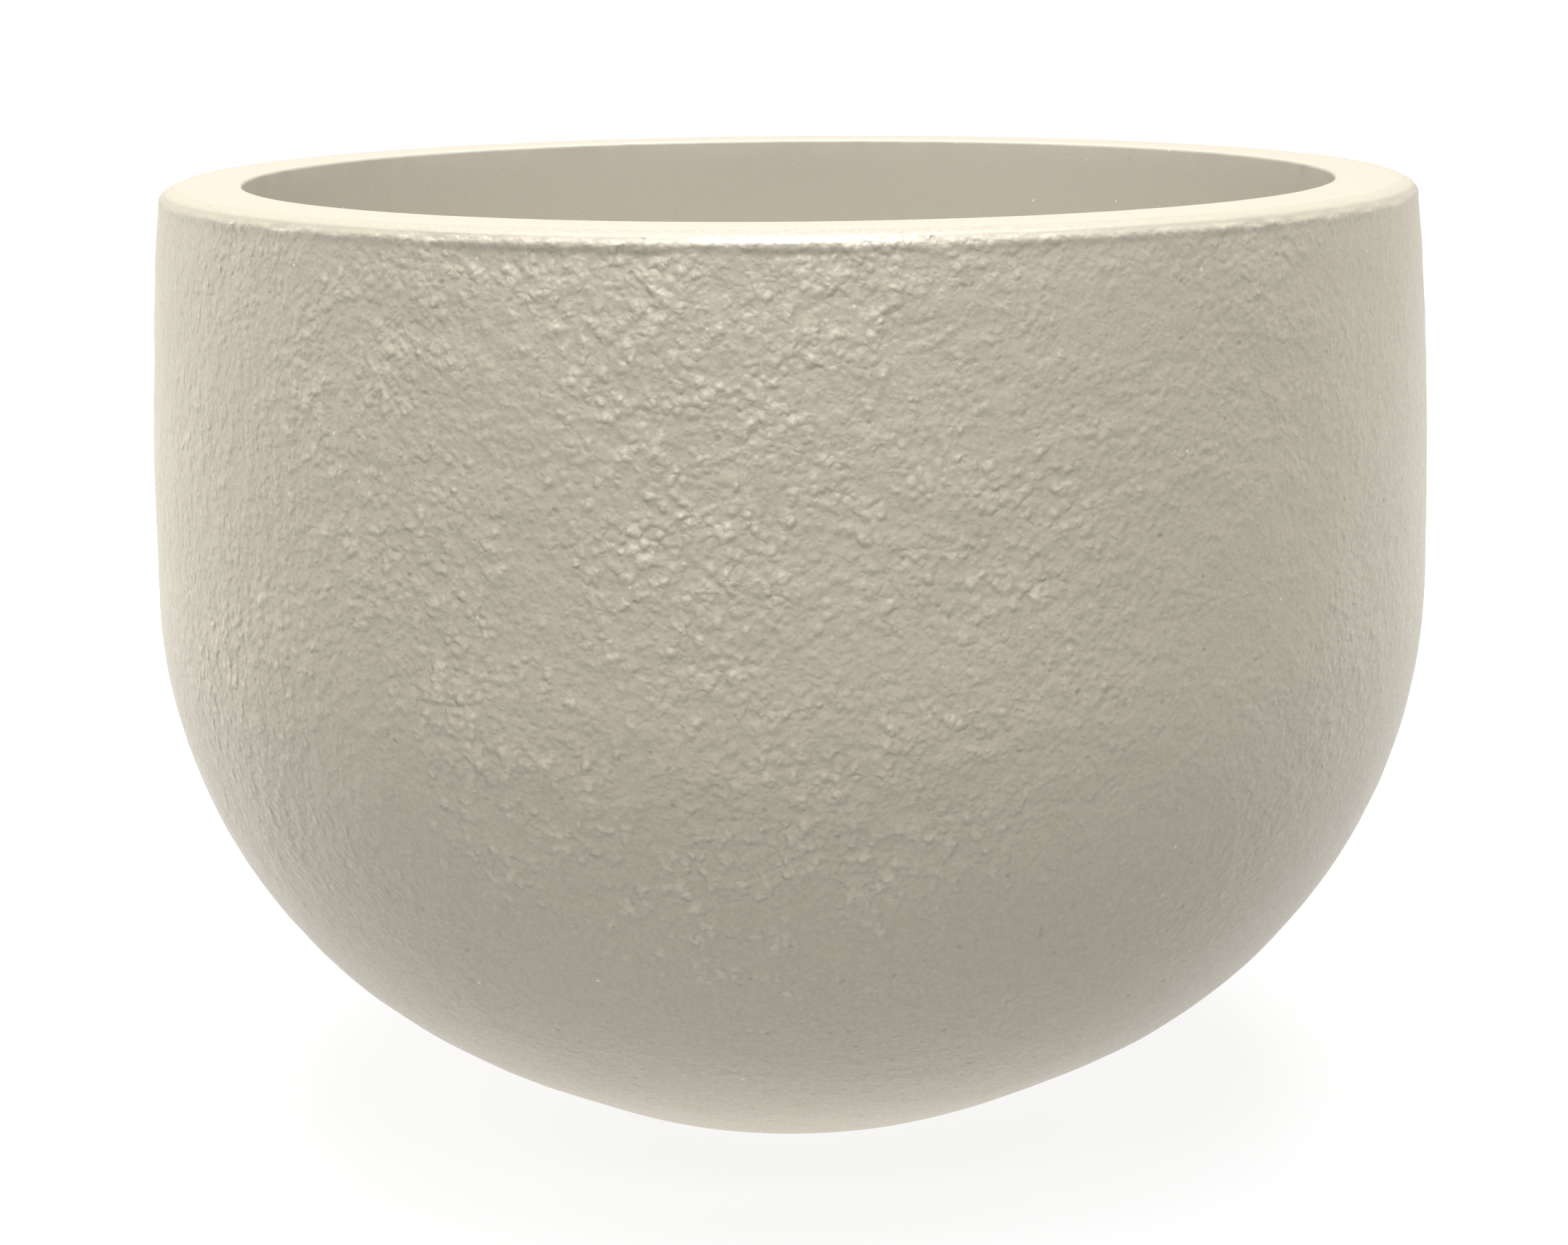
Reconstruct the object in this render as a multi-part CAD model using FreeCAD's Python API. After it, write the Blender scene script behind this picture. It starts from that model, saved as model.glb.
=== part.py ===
import FreeCAD, Part
import math
import os

# A round cast planter: a thick-walled bowl on rubber foot pads, with a lined drain hole and a lift-out plug.
# Millimetres, +Z up. The origin is on the ground, under the middle of the bowl.

Vector = FreeCAD.Vector
UP = Vector(0, 0, 1)
AXIS_START = Vector(0, 0, 0)
FULL_TURN = 360.0
SAME = 1e-3

# Bowl, outside. Heights count from the underside of the base. The two angles say how far the wall has turned
# under, from upright at the widest level, where the side arc ends and where the belly arc meets the base.
bowl_diameter = 400.0
bowl_height = 289.5
widest_height = 164.5
rim_draw_in = 6.2
base_diameter = 150.0
side_turn_deg = 58.5
belly_turn_deg = 66.3
base_edge_radius = 2.5

# Bowl, inside.
wall_thickness = 25.0
floor_thickness = 30.0
floor_corner_radius = 24.0

# Rim: a flat top with rounded edges, and a shallow line below the outer edge where the smooth lip ends.
rim_outer_radius = 3.6
rim_inner_radius = 2.0
lip_line_drop = 5.4
lip_line_radius = 1.8
lip_line_depth = 0.5

# Drain sleeve: a flanged tube cast into the floor, flush at both ends.
drain_bore = 26.0
sleeve_wall = 2.5
sleeve_flange_diameter = 48.0
sleeve_flange_thickness = 3.0
sleeve_anchor_diameter = 38.0
sleeve_anchor_thickness = 3.0
sleeve_bore_lead_in = 0.8

# Drain plug: a tapered stem with sealing ribs, a head that rests on the sleeve's flange, and a tab to pull.
plug_head_diameter = 40.0
plug_head_thickness = 4.0
plug_head_edge_radius = 1.5
plug_stem_diameter = 24.0
plug_tip_diameter = 20.0
plug_tip_clearance = 8.0
plug_rib_count = 3
plug_rib_width = 2.4
plug_seal_clearance = 0.05
plug_tab_width = 18.0
plug_tab_height = 17.0
plug_tab_thickness = 5.0
plug_tab_hole = 7.0
plug_tab_edge_radius = 1.2

# Foot pads: rubber discs set in shallow recesses in the underside.
pad_count = 4
pad_diameter = 22.0
pad_thickness = 4.0
pad_recess_depth = 1.5
pad_recess_clearance = 0.2
pad_circle_diameter = 112.0
pad_edge_radius = 0.8
pad_first_angle_deg = 45.0

# Levels above the ground.
underside_level = pad_thickness - pad_recess_depth
floor_level = underside_level + floor_thickness
widest_level = underside_level + widest_height
rim_level = underside_level + bowl_height


def section_point(radius, height):
    """A point of the half section: distance from the axis, and height above the ground."""
    return Vector(radius, 0, height)


def arc_about(centre, radius, start_angle, end_angle):
    """An arc of the half section. Angles are in radians, from the outward direction towards +Z."""
    def at(angle):
        return centre + Vector(radius * math.cos(angle), 0, radius * math.sin(angle))
    return Part.Arc(at(start_angle), at((start_angle + end_angle) / 2), at(end_angle)).toShape()


def lines_through(*points):
    """Straight edges from each point to the next."""
    return [Part.makeLine(a, b) for a, b in zip(points, points[1:])]


def turned(edges):
    """The solid that a closed half section sweeps in one full turn about the axis."""
    outline = Part.Wire(Part.__sortEdges__(edges))
    return Part.Face(outline).revolve(AXIS_START, UP, FULL_TURN)


def turned_polygon(*points):
    """The solid that a straight-sided half section sweeps in one full turn about the axis."""
    return turned(lines_through(*points, points[0]))


def level_rings(shape, height):
    """The level circular edges at this height."""
    return [
        edge for edge in shape.Edges
        if isinstance(edge.Curve, Part.Circle)
        and abs(edge.Curve.Center.z - height) < SAME
        and abs(edge.Curve.Axis.z) > 1 - SAME
    ]


def ring_edges(shape, radius, height):
    """The level circular edges with this radius, at this height."""
    return [edge for edge in level_rings(shape, height) if abs(edge.Curve.Radius - radius) < SAME]


class BowlCurve:
    """The bowl's wall as three tangent arcs: bow (rim to widest), side (below it) and belly (to the base).

    The inside of the wall uses the same centres, with each radius less by the wall's thickness.
    """

    def __init__(self):
        widest_radius = bowl_diameter / 2
        rise = bowl_height - widest_height
        self.bow_radius = (rise ** 2 + rim_draw_in ** 2) / (2 * rim_draw_in)
        self.bow_centre = section_point(widest_radius - self.bow_radius, widest_level)
        self.solve_side_and_belly(widest_radius - base_diameter / 2, widest_height)
        self.side_centre = section_point(widest_radius - self.side_radius, widest_level)
        toward_side_end = Vector(math.cos(self.side_angle), 0, math.sin(self.side_angle))
        self.belly_centre = self.side_centre + toward_side_end * (self.side_radius - self.belly_radius)

    def solve_side_and_belly(self, run, fall):
        """Finds the two radii whose arcs, turning by their angles, together run inwards and fall this far."""
        self.side_angle = -math.radians(side_turn_deg)
        self.belly_angle = -math.radians(belly_turn_deg)
        side_run = 1 - math.cos(self.side_angle)
        side_fall = -math.sin(self.side_angle)
        belly_run = math.cos(self.side_angle) - math.cos(self.belly_angle)
        belly_fall = math.sin(self.side_angle) - math.sin(self.belly_angle)
        determinant = side_run * belly_fall - belly_run * side_fall
        self.side_radius = (run * belly_fall - belly_run * fall) / determinant
        self.belly_radius = (side_run * fall - run * side_fall) / determinant

    def radius_at(self, height, inset=0.0):
        """The bowl's radius on its bow arc at a height, less an inset into the wall."""
        reach = self.bow_radius - inset
        return self.bow_centre.x + math.sqrt(reach ** 2 - (height - self.bow_centre.z) ** 2)

    def edges_down_to(self, level, inset=0.0):
        """The arcs from the rim down to a level, moved into the wall by an inset.

        Arcs that end above the level are followed by a straight drop.
        """
        bow_reach = self.bow_radius - inset
        rim_angle = math.asin((rim_level - self.bow_centre.z) / bow_reach)
        arcs = [
            (self.bow_centre, bow_reach, rim_angle, 0.0),
            (self.side_centre, self.side_radius - inset, 0.0, self.side_angle),
            (self.belly_centre, self.belly_radius - inset, self.side_angle, self.belly_angle),
        ]
        edges = []
        for centre, reach, start_angle, end_angle in arcs:
            if centre.z + reach * math.sin(end_angle) < level + SAME:
                level_angle = math.asin((level - centre.z) / reach)
                return edges + [arc_about(centre, reach, start_angle, level_angle)]
            edges.append(arc_about(centre, reach, start_angle, end_angle))
        arcs_end = edges[-1].lastVertex(True).Point
        return edges + lines_through(arcs_end, section_point(arcs_end.x, level))


def turned_bowl(curve, level, inset=0.0):
    """The space inside the bowl's curve, moved in by an inset, from a level up to the rim."""
    edges = curve.edges_down_to(level, inset)
    rim_end = edges[0].firstVertex(True).Point
    low_end = edges[-1].lastVertex(True).Point
    closing = lines_through(low_end, section_point(0, level), section_point(0, rim_level), rim_end)
    return turned(edges + closing)


def planter_shell(curve):
    """The cast bowl, with its rim, drain hole and pad recesses."""
    outside = turned_bowl(curve, underside_level)
    outside = outside.makeFillet(base_edge_radius, level_rings(outside, underside_level))
    outside = outside.makeFillet(rim_outer_radius, level_rings(outside, rim_level))
    cavity = turned_bowl(curve, floor_level, wall_thickness)
    cavity = cavity.makeFillet(floor_corner_radius, level_rings(cavity, floor_level))
    shell = outside.cut(cavity)
    mouth_radius = curve.radius_at(rim_level, wall_thickness)
    shell = shell.makeFillet(rim_inner_radius, ring_edges(shell, mouth_radius, rim_level))
    line_level = rim_level - lip_line_drop
    line_centre_radius = curve.radius_at(line_level) + lip_line_radius - lip_line_depth
    shell = shell.cut(Part.makeTorus(line_centre_radius, lip_line_radius, section_point(0, line_level)))
    shell = shell.cut(sleeve_outside())
    recess_radius = pad_diameter / 2 + pad_recess_clearance
    for centre in pad_centres():
        start = centre + UP * (underside_level - pad_recess_depth)
        shell = shell.cut(Part.makeCylinder(recess_radius, 2 * pad_recess_depth, start))
    return shell


def sleeve_outside():
    """The space that the drain sleeve fills in the floor: a tube, a top flange and an anchor ring."""
    tube_radius = drain_bore / 2 + sleeve_wall
    flange_radius = sleeve_flange_diameter / 2
    flange_level = floor_level - sleeve_flange_thickness
    anchor_radius = sleeve_anchor_diameter / 2
    anchor_middle = (underside_level + flange_level) / 2
    anchor_low = anchor_middle - sleeve_anchor_thickness / 2
    anchor_high = anchor_middle + sleeve_anchor_thickness / 2
    return turned_polygon(
        section_point(0, underside_level),
        section_point(tube_radius, underside_level),
        section_point(tube_radius, anchor_low),
        section_point(anchor_radius, anchor_low),
        section_point(anchor_radius, anchor_high),
        section_point(tube_radius, anchor_high),
        section_point(tube_radius, flange_level),
        section_point(flange_radius, flange_level),
        section_point(flange_radius, floor_level),
        section_point(0, floor_level),
    )


def drain_sleeve():
    """The plastic lining of the drain hole."""
    bore_radius = drain_bore / 2
    bore = Part.makeCylinder(bore_radius, floor_thickness, section_point(0, underside_level))
    sleeve = sleeve_outside().cut(bore)
    return sleeve.makeChamfer(sleeve_bore_lead_in, ring_edges(sleeve, bore_radius, floor_level))


def plug_rib(height):
    """One sealing rib: a ring with a half-round edge, just clear of the bore."""
    rib_radius = drain_bore / 2 - plug_seal_clearance
    half_width = plug_rib_width / 2
    edge_centre = section_point(rib_radius - half_width, height)
    half_round = arc_about(edge_centre, half_width, -math.pi / 2, math.pi / 2)
    low = section_point(0, height - half_width)
    high = section_point(0, height + half_width)
    sides = lines_through(half_round.lastVertex(True).Point, high, low, half_round.firstVertex(True).Point)
    return turned([half_round] + sides)


def plug_tab():
    """The pull tab: a flat upright with a round top and a hole, standing on the head."""
    half_width = plug_tab_width / 2
    foot_level = floor_level + plug_head_thickness / 2
    top_centre_level = floor_level + plug_head_thickness + plug_tab_height - half_width
    left = section_point(-half_width, foot_level)
    right = section_point(half_width, foot_level)
    crown = arc_about(section_point(0, top_centre_level), half_width, 0.0, math.pi)
    sides = lines_through(crown.lastVertex(True).Point, left, right, crown.firstVertex(True).Point)
    outline = Part.Wire(Part.__sortEdges__([crown] + sides))
    tab = Part.Face(outline).extrude(Vector(0, plug_tab_thickness, 0))
    tab.translate(Vector(0, -plug_tab_thickness / 2, 0))
    hole_start = Vector(0, -plug_tab_thickness, top_centre_level)
    hole = Part.makeCylinder(plug_tab_hole / 2, 2 * plug_tab_thickness, hole_start, Vector(0, 1, 0))
    crown_edges = [edge for edge in tab.Edges if isinstance(edge.Curve, Part.Circle)]
    tab = tab.makeFillet(plug_tab_edge_radius, crown_edges)
    return tab.cut(hole)


def drain_plug():
    """The rubber stopper that closes the drain and lifts straight out."""
    tip_level = underside_level + plug_tip_clearance
    stem_length = floor_level - tip_level
    tip = section_point(0, tip_level)
    stem = Part.makeCone(plug_tip_diameter / 2, plug_stem_diameter / 2, stem_length, tip)
    head = Part.makeCylinder(plug_head_diameter / 2, plug_head_thickness, section_point(0, floor_level))
    head_top = floor_level + plug_head_thickness
    head = head.makeFillet(plug_head_edge_radius, ring_edges(head, plug_head_diameter / 2, head_top))
    rib_pitch = stem_length / (plug_rib_count + 1)
    ribs = [plug_rib(tip_level + rib_pitch * (index + 1)) for index in range(plug_rib_count)]
    return head.multiFuse([stem, plug_tab()] + ribs).removeSplitter()


def pad_centres():
    """Where the foot pads stand, on the ground."""
    spacing = FULL_TURN / pad_count
    angles = [math.radians(pad_first_angle_deg + spacing * index) for index in range(pad_count)]
    reach = pad_circle_diameter / 2
    return [Vector(reach * math.cos(angle), reach * math.sin(angle), 0) for angle in angles]


def foot_pad(centre):
    """One rubber disc with a rounded lower edge."""
    pad = Part.makeCylinder(pad_diameter / 2, pad_thickness, centre)
    return pad.makeFillet(pad_edge_radius, ring_edges(pad, pad_diameter / 2, 0.0))


def main():
    """Builds each piece, writes it and prints its volume."""
    os.makedirs("parts", exist_ok=True)
    curve = BowlCurve()
    for arc in ("bow", "side", "belly"):
        print(f"{arc} radius {getattr(curve, arc + '_radius'):.1f}")
    pieces = {
        "planter_shell": planter_shell(curve),
        "drain_sleeve": drain_sleeve(),
        "drain_plug": drain_plug(),
    }
    for number, centre in enumerate(pad_centres(), start=1):
        pieces[f"foot_pad_{number}"] = foot_pad(centre)
    for name, shape in pieces.items():
        shape.exportStep(f"parts/{name}.step")
        print(f"{name}: {len(shape.Solids)} solid, valid {shape.isValid()}, {shape.Volume / 1000:.2f} cm3")


main()
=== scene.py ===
# %% [markdown]
# # A round cast planter
#
# The planter is a thick-walled bowl, cast in one piece from a cream-grey stone mix. Its outer face is rough
# and lumpy, its rim is trowelled flat and smooth, and its inside is plain. A plastic sleeve lines the drain
# hole in the floor, a rubber plug closes it, and four rubber pads lift the bowl off the ground.
#
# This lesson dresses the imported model. The bowl gets a new surface worked out with numpy, because the relief
# of a rough cast can't be painted on a plain turned shape. Every other piece keeps its shape and gets a
# finish of nodes.

# %% Load the frame
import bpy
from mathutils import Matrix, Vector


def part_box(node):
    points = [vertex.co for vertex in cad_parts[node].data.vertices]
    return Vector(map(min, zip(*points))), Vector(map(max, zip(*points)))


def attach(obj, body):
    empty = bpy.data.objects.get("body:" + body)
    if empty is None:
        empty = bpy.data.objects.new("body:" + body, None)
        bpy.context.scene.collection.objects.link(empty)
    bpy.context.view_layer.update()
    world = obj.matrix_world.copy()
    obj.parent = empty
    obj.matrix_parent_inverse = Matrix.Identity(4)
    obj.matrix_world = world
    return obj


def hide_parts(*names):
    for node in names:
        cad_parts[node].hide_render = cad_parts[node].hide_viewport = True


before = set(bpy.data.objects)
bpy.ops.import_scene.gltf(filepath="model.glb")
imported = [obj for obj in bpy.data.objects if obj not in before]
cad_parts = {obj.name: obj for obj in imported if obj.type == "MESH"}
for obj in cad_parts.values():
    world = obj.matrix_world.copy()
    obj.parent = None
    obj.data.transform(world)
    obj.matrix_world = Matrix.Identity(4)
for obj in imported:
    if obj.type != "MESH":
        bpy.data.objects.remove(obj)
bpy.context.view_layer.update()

# %% Modules and units
import math
import bpy
import numpy as np
from mathutils import Matrix

MM = 0.001
print("lengths below are in metres, written as millimetres times", MM)

# %% [markdown]
# ## The bowl's half section
#
# The wall is three tangent arcs: a nearly straight bow from the rim down to the widest level, a round side
# below it, and a flatter belly that meets the base. A spline through measured points could follow them too,
# but arcs offset exactly, so the inside of the wall uses the same centres with each radius less by the
# wall's thickness.

# %% Sizes of the bowl
shell_low, shell_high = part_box("planter_shell")
underside_level = float(shell_low[2])
rim_level = float(shell_high[2])
widest_radius = 200.0 * MM
widest_level = underside_level + 164.5 * MM
rim_draw_in = 6.2 * MM
base_radius = 75.0 * MM
side_angle = -math.radians(58.5)
belly_angle = -math.radians(66.3)
wall_thickness = 25.0 * MM
floor_level = underside_level + 30.0 * MM
print(f"bowl stands from {underside_level / MM:.1f} to {rim_level / MM:.1f} mm")

# %% Radii and centres of the wall's arcs
rise = rim_level - widest_level
bow_radius = (rise ** 2 + rim_draw_in ** 2) / (2 * rim_draw_in)
run_and_fall = np.array([widest_radius - base_radius, widest_level - underside_level])
turns = np.array([
    [1 - math.cos(side_angle), math.cos(side_angle) - math.cos(belly_angle)],
    [-math.sin(side_angle), math.sin(side_angle) - math.sin(belly_angle)],
])
side_radius, belly_radius = np.linalg.solve(turns, run_and_fall)
bow_centre = np.array([widest_radius - bow_radius, widest_level])
side_centre = np.array([widest_radius - side_radius, widest_level])
side_end_direction = np.array([math.cos(side_angle), math.sin(side_angle)])
belly_centre = side_centre + (side_radius - belly_radius) * side_end_direction
print(f"radii: bow {bow_radius / MM:.1f}, side {side_radius / MM:.1f}, belly {belly_radius / MM:.1f} mm")

# %% Helpers for a half section
def arc(centre, radius, start, end, step):
    """Points at centre + radius * (cos a, sin a), for angles a in even steps of about step along the arc."""
    count = max(3, 1 + math.ceil(abs(radius * (end - start)) / step))
    angles = np.linspace(start, end, count)
    return centre + radius * np.stack([np.cos(angles), np.sin(angles)], axis=1)


def straight(start, end, step):
    """Points at start + t * (end - start), with t in even steps from 0 to 1, about step apart."""
    start = np.asarray(start, float)
    end = np.asarray(end, float)
    count = max(2, 1 + math.ceil(np.linalg.norm(end - start) / step))
    return start + np.linspace(0, 1, count)[:, None] * (end - start)


def rounding(main_centre, main_reach, level):
    """Centre of a small circle that touches a level line and a wall arc, and the touching angle.

    The centre lies at main_reach from the wall arc's centre, and at level, so both allow for its radius.
    """
    across = math.sqrt(main_reach ** 2 - (level - main_centre[1]) ** 2)
    centre = np.array([main_centre[0] + across, level])
    direction = centre - main_centre
    return centre, math.atan2(direction[1], direction[0])


print("half section helpers ready")

# %% [markdown]
# ## One closed outline
#
# The section runs once round the cast: out along the underside, up the outer wall, in over the rim, down the
# inner wall, in along the floor, and down the hole that the drain sleeve fills. Turned about the axis, such
# a closed outline gives a surface with no pole and no seam. The outer half has twice as many points round
# the bowl as the hidden half, because that is where the relief shows.
#
# The rim's outer edge falls in four short slopes, each steeper than the one above it. The second one is
# tilted so that it mirrors the overhead lamp to a viewer in front.

# %% Edge of the rim
rim_edge_bend = 1.5 * MM
rim_edge_corner = 3.4 * MM
rim_edge_round = 4.2 * MM
rim_edge_height = 5.2 * MM
rim_edge_drops = [0, rim_edge_bend, rim_edge_corner, rim_edge_round, rim_edge_height]
rim_edge_insets = [5.6 * MM, 1.9 * MM, 0.45 * MM, 0.14 * MM, 0]
rim_edge_rows = 16


def wall_radius(level):
    """Outer radius of the bow at a level: centre's radius + sqrt(bow radius^2 - height over centre^2)."""
    return bow_centre[0] + np.sqrt(bow_radius ** 2 - (level - widest_level) ** 2)


rim_edge_drop = np.linspace(rim_edge_height, 0, rim_edge_rows)
rim_edge_level = rim_level - rim_edge_drop
rim_edge_inset = np.interp(rim_edge_drop, rim_edge_drops, rim_edge_insets)
rim_edge = np.stack([wall_radius(rim_edge_level) - rim_edge_inset, rim_edge_level], axis=1)
rim_radius = float(wall_radius(rim_level))
print(f"rim is {2 * rim_radius / MM:.1f} mm across, and its edge is {rim_edge_height / MM:.1f} mm high")

# %% Outer half of the section: base edge, wall, rim and mouth
base_edge_radius = 2.5 * MM
rim_inner_radius = 1.2 * MM
outer_step = 2.15 * MM
edge_step = 0.55 * MM
rim_step = 3.2 * MM
lip_zone = 9.0 * MM
outer_start = base_radius - 4.0 * MM

base_edge_reach = belly_radius - base_edge_radius
base_edge_centre, base_edge_angle = rounding(
    belly_centre, base_edge_reach, underside_level + base_edge_radius)
rim_inner_reach = bow_radius - wall_thickness + rim_inner_radius
rim_inner_centre, rim_inner_angle = rounding(
    bow_centre, rim_inner_reach, rim_level - rim_inner_radius)
lip_angle = math.asin((rim_level - lip_zone - widest_level) / bow_radius)
rim_edge_angle = math.asin((rim_edge_level[0] - widest_level) / bow_radius)

wall_runs = [
    straight([outer_start, underside_level], [base_edge_centre[0], underside_level], outer_step),
    arc(base_edge_centre, base_edge_radius, -math.pi / 2, base_edge_angle, edge_step),
    arc(belly_centre, belly_radius, base_edge_angle, side_angle, outer_step),
    arc(side_centre, side_radius, side_angle, 0.0, outer_step),
    arc(bow_centre, bow_radius, 0.0, lip_angle, outer_step),
    arc(bow_centre, bow_radius, lip_angle, rim_edge_angle, edge_step),
    rim_edge,
]
rim_top = straight(rim_edge[-1], [rim_inner_centre[0], rim_level], rim_step)
mouth = arc(rim_inner_centre, rim_inner_radius, math.pi / 2, rim_inner_angle + math.pi, edge_step)


def joined(runs):
    """The runs as one list of points, each without its first point, which repeats the last one before it."""
    return np.concatenate([runs[0]] + [run[1:] for run in runs[1:]])


outer_section = joined(wall_runs + [rim_top, mouth])
print("outer half section has", len(outer_section), "points")

# %% Hidden half of the section: inner wall, floor, drain hole and underside
floor_corner_radius = 24.0 * MM
flange_radius = 24.0 * MM
flange_level = floor_level - 3.0 * MM
tube_radius = 15.5 * MM
inner_step = 7.5 * MM
floor_step = 6.0 * MM
underside_step = 1.7 * MM

floor_corner_reach = belly_radius - wall_thickness - floor_corner_radius
floor_corner_centre, floor_corner_angle = rounding(
    belly_centre, floor_corner_reach, floor_level + floor_corner_radius)

inner_runs = [
    arc(bow_centre, bow_radius - wall_thickness, rim_inner_angle, 0.0, inner_step),
    arc(side_centre, side_radius - wall_thickness, 0.0, side_angle, inner_step),
    arc(belly_centre, belly_radius - wall_thickness, side_angle, floor_corner_angle, inner_step),
    arc(floor_corner_centre, floor_corner_radius, floor_corner_angle, -math.pi / 2, floor_step),
    straight([floor_corner_centre[0], floor_level], [flange_radius, floor_level], floor_step),
    straight([flange_radius, floor_level], [flange_radius, flange_level], floor_step),
    straight([flange_radius, flange_level], [tube_radius, flange_level], floor_step),
    straight([tube_radius, flange_level], [tube_radius, underside_level], floor_step),
    straight([tube_radius, underside_level], [outer_start, underside_level], underside_step),
]
inner_section = joined(inner_runs)[1:-1]
print("hidden half section has", len(inner_section), "points")

# %% [markdown]
# ## Relief of the rough cast
#
# A real relief of the surface is needed where it is larger than the mesh: slow swells left by the mould,
# coarse lumps, a worn line below the smooth lip, and small bruises along the rim's edges. Sculpting could
# give them, but sums of cosine waves with random directions are quick, seamless in space and the same on
# every run. Grains finer than the mesh come later, as bump in the finish. All relief goes inwards, so the
# bowl keeps its measured size.

# %% Waves, ramps and bells
def swell(points, wavelength, seed, count=48):
    """Smooth random relief with unit spread: a sum of cosines of direction . point * 2 pi / length + phase.

    Directions are random, and lengths lie around the given wavelength.
    """
    rng = np.random.default_rng(seed)
    directions = rng.normal(size=(count, 3))
    directions /= np.linalg.norm(directions, axis=1, keepdims=True)
    lengths = wavelength * rng.uniform(0.75, 1.35, count)
    phases = rng.uniform(0, 2 * math.pi, count)
    waves = np.cos(points @ (2 * math.pi * directions / lengths[:, None]).T + phases)
    return waves.sum(axis=1) * math.sqrt(2 / count)


def smooth_between(value, low, high):
    """0 below low, 1 above high, and the cubic 3 t^2 - 2 t^3 in between."""
    t = np.clip((value - low) / (high - low), 0, 1)
    return t * t * (3 - 2 * t)


def band(value, rise_from, rise_to, fall_from, fall_to):
    """1 inside a band of values, with a smooth rise at its start and a smooth fall at its end."""
    return smooth_between(value, rise_from, rise_to) * (1 - smooth_between(value, fall_from, fall_to))


def ridge(value, middle, half_width):
    """1 at the middle, falling as a Gaussian of the distance from it: exp(-(distance / half width)^2)."""
    return np.exp(-((value - middle) / half_width) ** 2)


def angle_from_front(points):
    """Turn about the axis from the front of the bowl (-Y), positive towards +X, in degrees."""
    return np.degrees(np.arctan2(points[:, 0], -points[:, 1]))


def bell(turn, middle, half_width):
    """A ridge round the circle: 1 at the middle turn, falling as a Gaussian of the shorter way to it."""
    away = (turn - middle + 180) % 360 - 180
    return ridge(away, 0, half_width)


def bells(turn, patches):
    """A sum of bells, each with its middle turn and half width in degrees, and its height."""
    return sum(height * bell(turn, middle, half_width) for middle, half_width, height in patches)


print("waves, ramps and bells ready")

# %% How rough each place is
plain_roughness = 0.54
rough_in_front = [(-2, 24, 0.40), (-42, 22, 0.24), (-72, 18, 0.12)]
rough_behind = [(-128, 34, 0.55), (128, 28, 0.60), (175, 20, 0.35)]
calm_patches = [(78, 24, 0.45), (92, 18, 0.55), (-92, 22, 0.72)]
patch_unevenness = 0.16
belly_wander = 9 * MM
belly_roughness = 0.34
belly_calm_below = 58 * MM
belly_rough_above = 112 * MM
lip_rough_below = rim_level - 3.9 * MM
lip_calm_above = rim_level - 2.2 * MM


def cast_roughness(points):
    """How strongly the lumps stand out, from 0 to 1, with less on the belly and none on the lip.

    Rough patches add to a plain level, calm ones each take off a share, and slow waves make all uneven.
    """
    turn = angle_from_front(points)
    level = points[:, 2]
    rough = plain_roughness + bells(turn, rough_in_front) + bells(turn, rough_behind)
    for calm_patch in calm_patches:
        rough *= 1 - bells(turn, [calm_patch])
    rough *= 1 + patch_unevenness * swell(points, 70 * MM, seed=11)
    uneven_level = level + belly_wander * swell(points, 90 * MM, seed=12)
    above_belly = smooth_between(uneven_level, belly_calm_below, belly_rough_above)
    rough *= belly_roughness + (1 - belly_roughness) * above_belly
    return np.clip(rough, 0, 1) * (1 - smooth_between(level, lip_rough_below, lip_calm_above))


print("roughness map ready")

# %% The turned surface
around_outer = 400
around_inner = around_outer // 2


def turned(section, count):
    """The section (r, z) at count even turns: points (r cos a, r sin a, z), row by row."""
    angles = np.linspace(0, 2 * math.pi, count, endpoint=False)
    radius = section[:, :1]
    height = np.repeat(section[:, 1:], count, axis=1)
    return np.stack([radius * np.cos(angles), radius * np.sin(angles), height], axis=2)


def outward(section, count):
    """Directions out of the cast at each point of the turned section: its tangent, a quarter turn right."""
    tangent = np.gradient(section, axis=0)
    tangent /= np.linalg.norm(tangent, axis=1, keepdims=True)
    directions = np.stack([tangent[:, 1], -tangent[:, 0]], axis=1)
    return turned(directions, count)


outer_grid = turned(outer_section, around_outer)
outer_directions = outward(outer_section, around_outer)
inner_grid = turned(inner_section, around_inner)
print("grids", outer_grid.shape[:2], inner_grid.shape[:2])

# %% Where each outer point lies
outer_places = outer_grid.reshape(-1, 3).copy()
outer_turn = angle_from_front(outer_places)
outer_reach = np.linalg.norm(outer_places[:, :2], axis=1)
drop = rim_level - outer_places[:, 2]
section_row = np.repeat(np.arange(len(outer_section)), around_outer)
on_wall = section_row < sum(len(run) - 1 for run in wall_runs)
outer_roughness = np.where(on_wall, cast_roughness(outer_places), 0.0)
print(f"roughness from {outer_roughness.min():.2f} to {outer_roughness.max():.2f}")

# %% Swells and lumps
swell_depth = 0.10 * MM
swell_least = 0.45
swell_sink = 3.2
ripple_share = 0.6
lump_depth = 0.10 * MM
lump_sink = 2.5

slow = swell(outer_places, 46 * MM, seed=3) + ripple_share * swell(outer_places, 17 * MM, seed=4)
swells = swell_depth * (swell_least + outer_roughness) * (slow - swell_sink)
coarse = lump_depth * outer_roughness * (swell(outer_places, 9.5 * MM, seed=7, count=96) - lump_sink)
above_base = smooth_between(outer_places[:, 2], underside_level + 1 * MM, underside_level + 12 * MM)
below_rim = smooth_between(drop, 3 * MM, 6 * MM)
relief = np.minimum((swells + coarse) * above_base * below_rim, 0)
print(f"swells and lumps go {-relief.min() / MM:.2f} mm deep")

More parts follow.
